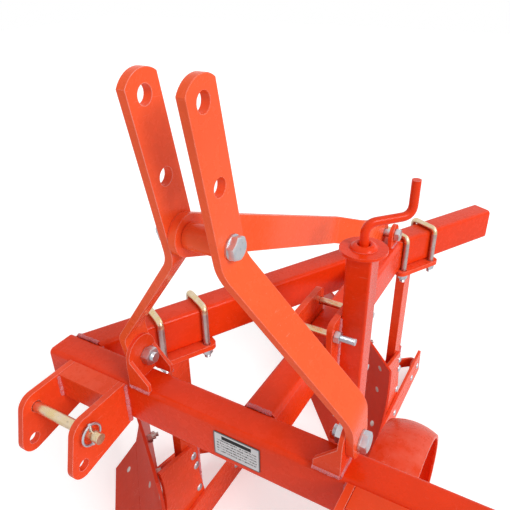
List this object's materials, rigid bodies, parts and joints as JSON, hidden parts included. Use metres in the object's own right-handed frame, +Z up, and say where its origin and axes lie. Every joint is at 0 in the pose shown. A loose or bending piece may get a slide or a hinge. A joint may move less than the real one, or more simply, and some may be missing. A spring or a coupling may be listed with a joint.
{
  "type": "mounted moldboard plough",
  "caption": "Mounted moldboard plough with a leaning hitch mast, a tube frame, U-bolted plough bodies and a crank-adjusted depth wheel.",
  "frame": {"origin": "on the ground, under the middle of the plough's bounding box", "axes": "+X forwards to the tractor, +Y to the driver's left, +Z up"},
  "size_m": [1.0158, 0.9138, 1.0125],
  "materials": {
    "red_paint": "glossy orange-red enamel on steel",
    "yellow_zinc": "yellow chromated zinc plating",
    "white_zinc": "bright white zinc plating",
    "blank_plate": "blank satin data plate"
  },
  "bodies": {
    "frame": {"brace_bolt": "white_zinc", "brace_ear_left": "red_paint", "brace_ear_right": "red_paint", "crank": "red_paint", "crossbeam": "red_paint", "data_plate": "blank_plate", "foot_bolt_left": "white_zinc", "foot_bolt_right": "white_zinc", "foot_bracket_left": "red_paint", "foot_bracket_right": "red_paint", "front_clamp_plate": "red_paint", "front_frog": "red_paint", "front_landside": "red_paint", "front_leg": "red_paint", "front_moldboard": "red_paint", "front_share": "red_paint", "front_stay": "red_paint", "front_u_bolt_aft": "yellow_zinc", "front_u_bolt_fore": "yellow_zinc", "hitch_pin_left": "yellow_zinc", "hitch_pin_right": "yellow_zinc", "hitch_plate_left_inner": "red_paint", "hitch_plate_left_outer": "red_paint", "hitch_plate_right_inner": "red_paint", "hitch_plate_right_outer": "red_paint", "hitch_spacer_left": "red_paint", "hitch_spacer_right": "red_paint", "linch_pin_left": "white_zinc", "linch_pin_right": "white_zinc", "main_beam": "red_paint", "mast_bar_left": "red_paint", "mast_bar_right": "red_paint", "mast_bolt": "white_zinc", "mast_brace": "red_paint", "mast_spacer": "red_paint", "rear_clamp_plate": "red_paint", "rear_frog": "red_paint", "rear_landside": "red_paint", "rear_leg": "red_paint", "rear_moldboard": "red_paint", "rear_share": "red_paint", "rear_stay": "red_paint", "rear_u_bolt_aft": "yellow_zinc", "rear_u_bolt_fore": "yellow_zinc", "side_beam": "red_paint", "sleeve_back_plate": "red_paint", "sleeve_bolt_aft_lower": "white_zinc", "sleeve_bolt_aft_upper": "white_zinc", "sleeve_bolt_fore_lower": "white_zinc", "sleeve_bolt_fore_upper": "white_zinc", "sleeve_plate": "red_paint", "wheel_sleeve": "red_paint"},
    "wheel_leg": {"wheel_leg": "red_paint", "wheel_axle": "white_zinc"},
    "wheel": {"wheel_rim": "red_paint", "wheel_hub": "red_paint"}
  },
  "joints": [
    {"name": "depth_slide", "type": "slide", "parent": "frame", "child": "wheel_leg", "axis": [0, 0, 1], "range_m": [-0.02, 0.15]},
    {"name": "wheel_spin", "type": "hinge", "parent": "wheel_leg", "child": "wheel", "pos_m": [0.11028, 0.29986, 0.168], "axis": [0, 1, 0], "continuous": true}
  ]
}
